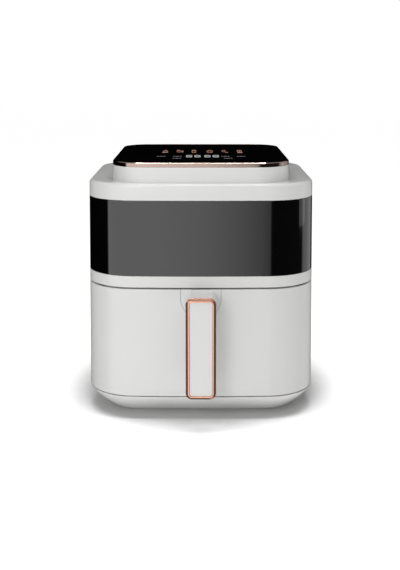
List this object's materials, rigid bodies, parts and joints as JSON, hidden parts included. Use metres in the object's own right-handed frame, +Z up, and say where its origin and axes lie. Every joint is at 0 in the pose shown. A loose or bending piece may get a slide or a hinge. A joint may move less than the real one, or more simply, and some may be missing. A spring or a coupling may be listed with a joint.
{
  "type": "air fryer",
  "caption": "Drawer air fryer with a wrap-round front, a flat bar handle, a glass touch panel, a lift-out crisper plate, and a fan, heater and motor inside.",
  "frame": {"origin": "on the supporting surface, under the middle of the whole appliance with its handle", "axes": "+Z up, the front with the handle faces -Y, +X to the right seen from the front"},
  "size_m": [0.2826, 0.312, 0.3172],
  "materials": {
    "white_plastic": "satin-gloss moulded ABS",
    "gloss_black": "piano-black gloss",
    "dark_plastic": "fine matt texture",
    "rose_gold": "polished rose-gold plating",
    "black_glass": "black-backed tempered glass",
    "rubber_black": "moulded rubber",
    "zinc_steel": "zinc-plated",
    "sheet_steel": "bright sheet",
    "spring_steel": "ground",
    "aluminium_sheet": "mill finish",
    "heater_sheath": "heat-darkened sheath",
    "laminated_core": "varnished laminations",
    "sintered_bronze": "oil-soaked sintered",
    "circuit_board": "solder-masked laminate",
    "component_case": "moulded",
    "terminal_plastic": "moulded",
    "plunger_plastic": "moulded",
    "wire_sleeve": "silicone sleeve",
    "nonstick_coating": "speckled non-stick coating",
    "silicone": "soft silicone"
  },
  "bodies": {
    "housing": {"base_tray": "white_plastic", "rubber_feet": "rubber_black", "base_screws": "zinc_steel", "lower_shell": "white_plastic", "decor_band": "gloss_black", "band_carrier": "dark_plastic", "top_cover": "white_plastic", "panel_trim": "rose_gold", "control_glass": "black_glass", "touch_board": "circuit_board", "display_module": "dark_plastic", "rear_cover": "dark_plastic", "rear_screws": "zinc_steel", "cord_gland": "rubber_black", "gland_nut": "dark_plastic", "chamber_liner": "sheet_steel", "front_frame": "dark_plastic", "guide_rails": "sheet_steel", "drawer_catches": "spring_steel", "heat_shield": "aluminium_sheet", "air_guide": "sheet_steel", "heater_coil": "heater_sheath", "heater_brackets": "sheet_steel", "heater_guard": "sheet_steel", "exhaust_duct": "dark_plastic", "motor_stator": "laminated_core", "motor_bracket": "sheet_steel", "motor_bushes": "sintered_bronze", "motor_screws": "zinc_steel", "power_board": "circuit_board", "board_components": "component_case", "board_screws": "zinc_steel", "heat_sink": "aluminium_sheet", "terminal_block": "terminal_plastic", "thermal_cutout": "aluminium_sheet", "temperature_probe": "sheet_steel", "drawer_switch": "component_case", "wiring_loom": "wire_sleeve"},
    "drawer": {"drawer_front": "white_plastic", "drawer_inner_panel": "dark_plastic", "drawer_gasket": "silicone", "pot": "nonstick_coating", "pot_base": "nonstick_coating", "pot_bracket": "sheet_steel", "bracket_screws": "zinc_steel", "handle_root": "white_plastic", "handle_grip": "white_plastic", "handle_trim": "rose_gold", "handle_inlay": "white_plastic", "handle_screws": "zinc_steel"},
    "crisper": {"crisper_plate": "nonstick_coating", "crisper_bumpers": "silicone"},
    "rotor": {"motor_shaft": "spring_steel", "rotor_core": "laminated_core", "convection_fan": "sheet_steel", "fan_nut": "zinc_steel", "cooling_fan": "dark_plastic"},
    "plunger": {"switch_plunger": "plunger_plastic"}
  },
  "joints": [
    {"name": "drawer_slide", "type": "slide", "parent": "housing", "child": "drawer", "axis": [0, -1, 0], "range_m": [0, 0.215]},
    {"name": "crisper_lift", "type": "slide", "parent": "drawer", "child": "crisper", "axis": [0, 0, 1], "range_m": [0, 0.11]},
    {"name": "fan_spin", "type": "hinge", "parent": "housing", "child": "rotor", "pos_m": [0, 0.02, 0.23], "axis": [0, 0, 1], "continuous": true},
    {"name": "plunger_press", "type": "slide", "parent": "housing", "child": "plunger", "axis": [0, 0, 1], "range_m": [0, 0.0015], "stiffness_N_per_m": 120, "springref_m": -0.002}
  ]
}
